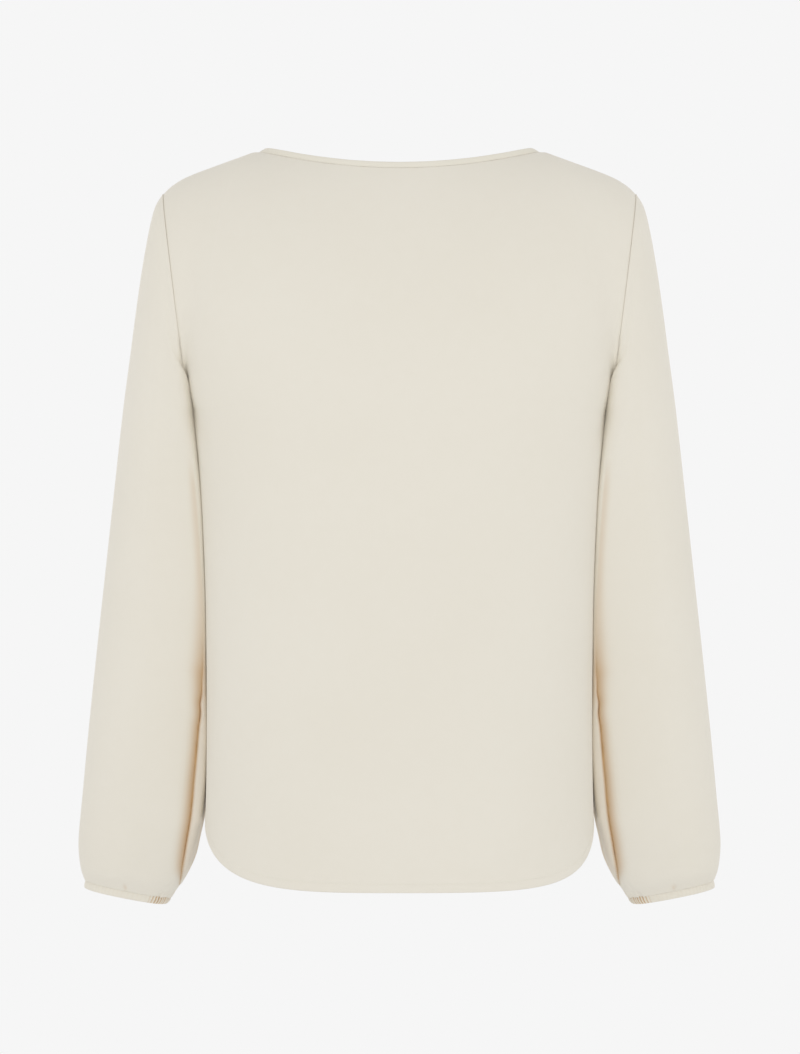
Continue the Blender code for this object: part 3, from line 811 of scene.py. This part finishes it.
def bindingPiece(name):
    first = body["shoulderColumns"]
    place = np.linspace(first, first + body["neckColumns"], binding["steps"] // 2 + 1)
    line, normal = [], []
    for panel, outward, order in ((backPanel, backOut, 1), (frontPanel, frontOut, -1)):
        edge = topLine(panel, place)
        out = pointsAt(place, panelPlace, outward[-4])
        line.append(edge[::order][:-1])
        normal.append(out[::order][:-1])
    line, normal = np.concatenate(line), np.concatenate(normal)
    for _ in range(6):  # evens the change of slope at the two shoulders
        normal = unit(np.roll(normal, 1, axis=0) + 2 * normal + np.roll(normal, -1, axis=0))
        line = (np.roll(line, 1, axis=0) + 6 * line + np.roll(line, -1, axis=0)) / 8
    along = unit(np.roll(line, -1, axis=0) - np.roll(line, 1, axis=0))
    step, half = np.arange(len(line)), len(line) // 2
    toShoulder = np.minimum(step % half, -step % half) * binding["halfLength"] / half
    low, high = binding["stand"]
    stand = low + (high - low) * smoothStep(0, binding["standReach"], toShoulder)
    rise = unit(np.cross(normal, along)) + np.array([0, 0, 1]) * stand[:, None]
    up = unit(rise - along * np.sum(rise * along, axis=1, keepdims=True))
    out = np.cross(along, up)
    run = runAlong(line)
    ripple = binding["ripple"] * (np.sin(run / (6.1 * mm)) + 0.8 * np.sin(run / (3.7 * mm) + 1))
    points = np.array([
        line + up * (binding["seamGap"] + binding["width"] * level) + out * (lift * mm + ripple)[:, None]
        for level, lift in binding["profile"]
    ])
    x, y = np.broadcast_arrays(run, np.arange(len(points))[:, None] * 0.7 * mm)
    bias = np.stack([x + y, y - x], axis=-1) * math.sqrt(0.5)
    # painted shade on the rows beside the seam
    shade = np.zeros(points.shape[:2])
    shade[:len(binding["shades"])] = np.array(binding["shades"])[:, None]
    return bandPiece(name, points, bias, shade, False)


neckBinding = bindingPiece("blouse_neck_binding")
print("neck binding made")


# rows of stitches, as short threads half sunk in the cloth

stitches = {
    "length": 2.1 * mm,
    "pitch": 2.9 * mm,
    "radius": 0.17 * mm,
    "sides": 6,
    "endColumns": 4,           # no stitches on so many columns at both seams
    "hemRow": 7,               # the row of the hem that they stand on
    # shares along a stitch, its thickness there, and how far it rises out of the cloth
    "form": (
        (-1.0, 0.25, -0.9), (-0.8, 0.9, 0.1), (-0.3, 1.0, 0.65),
        (0.3, 1.0, 0.65), (0.8, 0.9, 0.1), (1.0, 0.25, -0.9),
    ),
}


def stitchPiece(name, path, outward):
    run = runAlong(path)
    count = int(run[-1] / stitches["pitch"])
    centres = (np.arange(count) + 0.5) * run[-1] / count
    middle, normal = pointsAt(centres, run, path), unit(pointsAt(centres, run, outward))
    ahead, behind = (pointsAt(centres + step, run, path) for step in (0.3 * mm, -0.3 * mm))
    along = unit(ahead - behind)
    side = np.cross(along, normal)
    sides, radius, form = stitches["sides"], stitches["radius"], stitches["form"]
    points = []
    for share, thick, rise in form:
        centre = middle + along * share * stitches["length"] / 2 + normal * rise * radius
        for turn in 2 * math.pi * np.arange(sides) / sides:
            points.append(centre + (side * math.cos(turn) + normal * math.sin(turn)) * radius * thick)
    points = np.stack(points, axis=1)
    size = len(form) * sides
    starts = size * np.arange(count)[:, None]
    faces = (starts[..., None] + gridFaces(len(form), sides, True, False, False)).reshape(-1, 4).tolist()
    caps = (starts + np.arange(sides)[::-1]).tolist() + (starts + np.arange(size - sides, size)).tolist()
    mesh = bpy.data.meshes.new(name)
    mesh.from_pydata(points.reshape(-1, 3).tolist(), [], faces + caps)
    mesh.shade_smooth()
    return placed(name, mesh)


def hemStitches(name, points, outward):
    up = runAlong(points)
    target = body["stitchLine"] * body["hemBand"]
    end = stitches["endColumns"]
    path = np.array([pointsAt(target, up[:, c], points[:, c]) for c in range(end, points.shape[1] - end)])
    return stitchPiece(name, path, outward[stitches["hemRow"], end:-end])


stitchPieces = [
    hemStitches("hem_stitches_back", backPoints, backOut),
    hemStitches("hem_stitches_front", frontPoints, frontOut),
]
print("stitches made")


# materials

crepe = {
    "cream": (0.835, 0.795, 0.705, 1),
    "paleCream": (0.85, 0.812, 0.728, 1),
    "deepCream": (0.80, 0.755, 0.655, 1),
    # brown of the painted shade in creases, seams and gathers
    "paintedShadeBrown": (0.59, 0.385, 0.195, 1),
    "roughness": (0.62, 0.78),
    "sheen": 0.2,
    "sheenRoughness": 0.45,
    "sheenTint": (1, 0.97, 0.92, 1),
    "threads": 2400.0,         # in a metre
    "weaveDepth": 0.05 * mm,
}


def newGroup(name, inputs, outputs):
    group = bpy.data.node_groups.new(name, "ShaderNodeTree")
    for label, kind, value in inputs:
        socket = group.interface.new_socket(name=label, in_out="INPUT", socket_type="NodeSocket" + kind)
        if value is not None:
            socket.default_value = value
    for label, kind in outputs:
        group.interface.new_socket(name=label, in_out="OUTPUT", socket_type="NodeSocket" + kind)
    return group, group.nodes.new("NodeGroupInput"), group.nodes.new("NodeGroupOutput")


def setValues(node, values):
    for label, value in values.items():
        node.inputs[label].default_value = value


def newNode(tree, kind):
    return tree.nodes.new("ShaderNode" + kind)


def join(first, output, second, label):
    first.id_data.links.new(first.outputs[output], second.inputs[label])


def newMaterial(name):
    material = bpy.data.materials.new(name)
    material.use_nodes = True
    return material, material.node_tree, material.node_tree.nodes["Principled BSDF"]


def mathNode(tree, operation, first, second=None):
    node = newNode(tree, "Math")
    node.operation = operation
    for socket, value in zip(node.inputs, (first, second)):
        if value is None:
            continue
        if isinstance(value, (int, float)):
            socket.default_value = value
        else:
            tree.links.new(value, socket)
    return node.outputs[0]


def noiseNode(tree, vector, scale, detail=2.0, roughness=0.5):
    node = newNode(tree, "TexNoise")
    tree.links.new(vector, node.inputs["Vector"])
    setValues(node, {"Scale": scale, "Detail": detail, "Roughness": roughness})
    return node.outputs["Fac"]


def mixColour(tree, factor, first, second):
    node = newNode(tree, "Mix")
    node.data_type = "RGBA"
    for socket, value in ((node.inputs[0], factor), (node.inputs[6], first), (node.inputs[7], second)):
        if isinstance(value, bpy.types.NodeSocket):
            tree.links.new(value, socket)
        else:
            socket.default_value = value
    return node.outputs[2]


def makeWeaveGroup():
    # plain weave of uneven crepe threads: over and under in turn, both ways of the grain
    group, given, out = newGroup(
        "crepeWeave",
        (("Grain", "Vector", None), ("Threads", "Float", crepe["threads"]),
         ("Slub", "Float", 0.4)),
        (("Height", "Float"), ("Thread Mask", "Float")),
    )
    wander = newNode(group, "TexNoise")
    join(given, "Grain", wander, "Vector")
    setValues(wander, {"Scale": 260, "Detail": 2})
    shift = newNode(group, "VectorMath")
    shift.operation = "MULTIPLY_ADD"
    join(wander, "Color", shift, 0)
    shift.inputs[1].default_value = (0.0007, 0.0007, 0)
    join(given, "Grain", shift, 2)
    split = newNode(group, "SeparateXYZ")
    join(shift, 0, split, 0)
    waves = []
    for axis in (0, 1):
        turn = mathNode(group, "MULTIPLY", split.outputs[axis], given.outputs["Threads"])
        waves.append(mathNode(group, "SINE", mathNode(group, "MULTIPLY", turn, math.pi)))
    over = mathNode(group, "MULTIPLY", waves[0], waves[1])
    grains = noiseNode(group, given.outputs["Grain"], 1500, 2.0, 0.6)
    uneven = mathNode(group, "MULTIPLY", mathNode(group, "SUBTRACT", grains, 0.5), given.outputs["Slub"])
    both = mathNode(group, "ADD", mathNode(group, "MULTIPLY", over, 0.5), uneven)
    group.links.new(mathNode(group, "ADD", both, 0.5), out.inputs["Height"])
    mask = mathNode(group, "MULTIPLY", mathNode(group, "ADD", over, 1.0), 0.5)
    group.links.new(mask, out.inputs["Thread Mask"])
    return group


def makeToneAndShadeGroup():
    # cream that drifts a little in tone over the cloth, and painted shade that warms it towards brown in
    # the depth of its creases
    group, given, out = newGroup(
        "creamToneAndPaintedShade",
        (
            ("Place", "Vector", None), ("Crease", "Float", 0.0),
            ("Cream", "Color", crepe["cream"]), ("Pale", "Color", crepe["paleCream"]),
            ("Deep", "Color", crepe["deepCream"]),
            ("Painted Shade Brown", "Color", crepe["paintedShadeBrown"]),
            ("Painted Shade Strength", "Float", 0.6), ("Thread", "Float", 0.5),
        ),
        (("Colour", "Color"), ("Mottle", "Float")),
    )
    broad = noiseNode(group, given.outputs["Place"], 7.5, 2.0, 0.5)
    fine = noiseNode(group, given.outputs["Place"], 95, 3.0, 0.6)
    mottle = mathNode(group, "ADD", mathNode(group, "MULTIPLY", broad, 0.7),
                      mathNode(group, "MULTIPLY", fine, 0.3))
    ramp = newNode(group, "MapRange")
    group.links.new(mottle, ramp.inputs["Value"])
    setValues(ramp, {"From Min": 0.35, "From Max": 0.65})
    tone = mixColour(group, ramp.outputs["Result"], given.outputs["Deep"], given.outputs["Pale"])
    soft = mixColour(group, 0.72, tone, given.outputs["Cream"])
    gap = mathNode(group, "SUBTRACT", 1.0, given.outputs["Thread"])
    threadTone = mathNode(group, "MULTIPLY", gap, 0.12)
    woven = mixColour(group, threadTone, soft, given.outputs["Deep"])
    # painted shade: the crease shade mask mixes the cream towards brown
    crease = mathNode(group, "MULTIPLY", given.outputs["Crease"], given.outputs["Painted Shade Strength"])
    group.links.new(mixColour(group, crease, woven, given.outputs["Painted Shade Brown"]), out.inputs["Colour"])
    group.links.new(mottle, out.inputs["Mottle"])
    return group


weaveGroup = makeWeaveGroup()
toneAndShadeGroup = makeToneAndShadeGroup()


def clothMaterial(name, look):
    material, tree, shader = newMaterial(name)
    grain = newNode(tree, "UVMap")
    grain.uv_map = "ClothGrain"
    place = newNode(tree, "TexCoord")
    # the mask of painted shade that each piece carries
    crease = newNode(tree, "Attribute")
    crease.attribute_name = "creaseShade"
    weave = newNode(tree, "Group")
    weave.node_tree = weaveGroup
    join(grain, "UV", weave, "Grain")
    setValues(weave, {"Slub": look["slub"]})
    toneAndShade = newNode(tree, "Group")
    toneAndShade.node_tree = toneAndShadeGroup
    join(place, "Object", toneAndShade, "Place")
    join(crease, "Fac", toneAndShade, "Crease")
    join(weave, "Thread Mask", toneAndShade, "Thread")
    setValues(toneAndShade, {"Painted Shade Strength": look["paintedShadeStrength"], "Cream": look["cream"]})
    join(toneAndShade, "Colour", shader, "Base Color")
    rough = newNode(tree, "MapRange")
    join(toneAndShade, "Mottle", rough, "Value")
    setValues(rough, dict(zip(("To Min", "To Max"), crepe["roughness"])))
    join(rough, "Result", shader, "Roughness")
    bump = newNode(tree, "Bump")
    join(weave, "Height", bump, "Height")
    setValues(bump, {"Strength": look["bump"], "Distance": crepe["weaveDepth"]})
    join(bump, "Normal", shader, "Normal")
    setValues(shader, {
        "Metallic": 0, "Specular IOR Level": 0.25, "Sheen Weight": crepe["sheen"],
        "Sheen Roughness": crepe["sheenRoughness"], "Sheen Tint": crepe["sheenTint"],
    })
    return material


# each look's crease strength sets how strongly its painted crease shade browns the cream
looks = {
    "bodyCrepe": {"slub": 0.45, "paintedShadeStrength": 0.35, "bump": 0.5, "cream": crepe["cream"]},
    "sleeveCrepe": {"slub": 0.45, "paintedShadeStrength": 1.0, "bump": 0.5, "cream": crepe["cream"]},
    # the cuff and the binding are the body's crepe with a little darker cream: painted shade
    "cuffCrepe": {"slub": 0.5, "paintedShadeStrength": 1.0, "bump": 0.5, "cream": (0.83, 0.79, 0.695, 1)},
    "bindingCrepe": {"slub": 0.5, "paintedShadeStrength": 0.3, "bump": 0.45, "cream": (0.80, 0.765, 0.668, 1)},
}
materials = {name: clothMaterial(name, look) for name, look in looks.items()}


def threadMaterial():
    material, tree, shader = newMaterial("creamThread")
    place = newNode(tree, "TexCoord")
    twist = newNode(tree, "TexWave")
    join(place, "Object", twist, "Vector")
    twist.bands_direction = "DIAGONAL"
    setValues(twist, {"Scale": 900})
    tree.links.new(mixColour(tree, twist.outputs["Fac"], (0.80, 0.76, 0.67, 1), (0.88, 0.85, 0.77, 1)),
                   shader.inputs["Base Color"])
    setValues(shader, {"Roughness": 0.5, "Sheen Weight": crepe["sheen"]})
    return material


thread = threadMaterial()
print("materials made:", ", ".join(materials))


# what each piece rides on, stands for and is made of

pieces = (
    (backShell, "back_panel", "bodyCrepe", "blouse_cloth", backPanel, "draped"),
    (frontShell, "front_panel", "bodyCrepe", "blouse_cloth", frontPanel, "draped"),
    (leftSleeve, "sleeve_left", "sleeveCrepe", "blouse_cloth", sleeve, "draped"),
    (rightSleeve, "sleeve_right", "sleeveCrepe", "blouse_cloth", sleeve, "draped"),
    (leftCuff, "cuff_left", "cuffCrepe", "cuff_casing", cuff, "gathered"),
    (rightCuff, "cuff_right", "cuffCrepe", "cuff_casing", cuff, "gathered"),
    (neckBinding, "neck_binding", "bindingCrepe", "neck_binding", binding, "folded"),
)
for piece, node, material, slot, cut, held in pieces:
    piece.data.materials.append(materials[material])
    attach(piece, "root")
    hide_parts(node)
for piece in stitchPieces:
    piece.data.materials.append(thread)
    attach(piece, "root")
print("pieces placed:", len(pieces) + len(stitchPieces))


# floor, light and camera

studio = {
    "floorHeight": -1.42,
    "floorRadius": 2.6,
    "paper": (0.922, 0.922, 0.922, 1),
    "paperRoughness": 0.9,
    "aim": (0, 0, -0.33),
    "skyLow": (0.99, 0.99, 0.98, 1),      # light from below and from the sides
    "skyHigh": (0.68, 0.68, 0.685, 1),    # light from straight above
    # place, size, strength
    "lamps": (
        ((-0.9, -3.4, -0.5), 1.9, 5.0),
        ((0.9, -3.4, -0.5), 1.9, 5.0),
        ((0.0, 3.4, -0.2), 2.6, 12.0),
    ),
    "lens": 120,
    "sensor": 36,
    "photoHeight": 1054,
    "mmPerPixel": 0.87,
    "neckRow": 148,
}


def makeStudio():
    rim = [(studio["floorRadius"] * math.cos(a), studio["floorRadius"] * math.sin(a), studio["floorHeight"])
           for a in np.linspace(0, 2 * math.pi, 97)[:-1]]
    mesh = bpy.data.meshes.new("studioFloor")
    mesh.from_pydata(rim, [], [tuple(range(len(rim)))])
    floor = placed("studioFloor", mesh)
    paper, _, shader = newMaterial("studioPaper")
    setValues(shader, {"Base Color": studio["paper"], "Roughness": studio["paperRoughness"]})
    floor.data.materials.append(paper)
    world = bpy.data.worlds.new("studioWorld")
    bpy.context.scene.world = world
    world.use_nodes = True
    tree = world.node_tree
    place = newNode(tree, "TexCoord")
    split = newNode(tree, "SeparateXYZ")
    join(place, "Generated", split, 0)
    height = newNode(tree, "MapRange")
    join(split, "Z", height, "Value")
    skyColour = mixColour(tree, height.outputs["Result"], studio["skyLow"], studio["skyHigh"])
    seen = newNode(tree, "LightPath")  # the backdrop itself shows as pale paper
    tree.links.new(mixColour(tree, seen.outputs["Is Camera Ray"], skyColour, studio["paper"]),
                   tree.nodes["Background"].inputs["Color"])
    aim = Vector(studio["aim"])
    for k, (place, size, strength) in enumerate(studio["lamps"]):
        data = bpy.data.lights.new(f"softLamp{k}", "AREA")
        data.shape = "DISK"
        data.size = size
        data.energy = strength
        lamp = placed(f"softLamp{k}", data)
        lamp.location = place
        lamp.rotation_euler = (aim - Vector(place)).to_track_quat("-Z", "Y").to_euler()
    bpy.context.scene.view_settings.view_transform = "Standard"


def makeCamera():
    pixel = studio["mmPerPixel"] * mm
    distance = studio["photoHeight"] * pixel * studio["lens"] / studio["sensor"]
    data = bpy.data.cameras.new("photoCamera")
    data.lens = studio["lens"]
    data.sensor_width = studio["sensor"]
    camera = placed("photoCamera", data)
    camera.location = (0.5 * pixel, -distance, (studio["neckRow"] - studio["photoHeight"] / 2) * pixel)
    camera.rotation_euler = (math.pi / 2, 0, 0)
    bpy.context.scene.camera = camera


makeStudio()
makeCamera()
print("studio made")
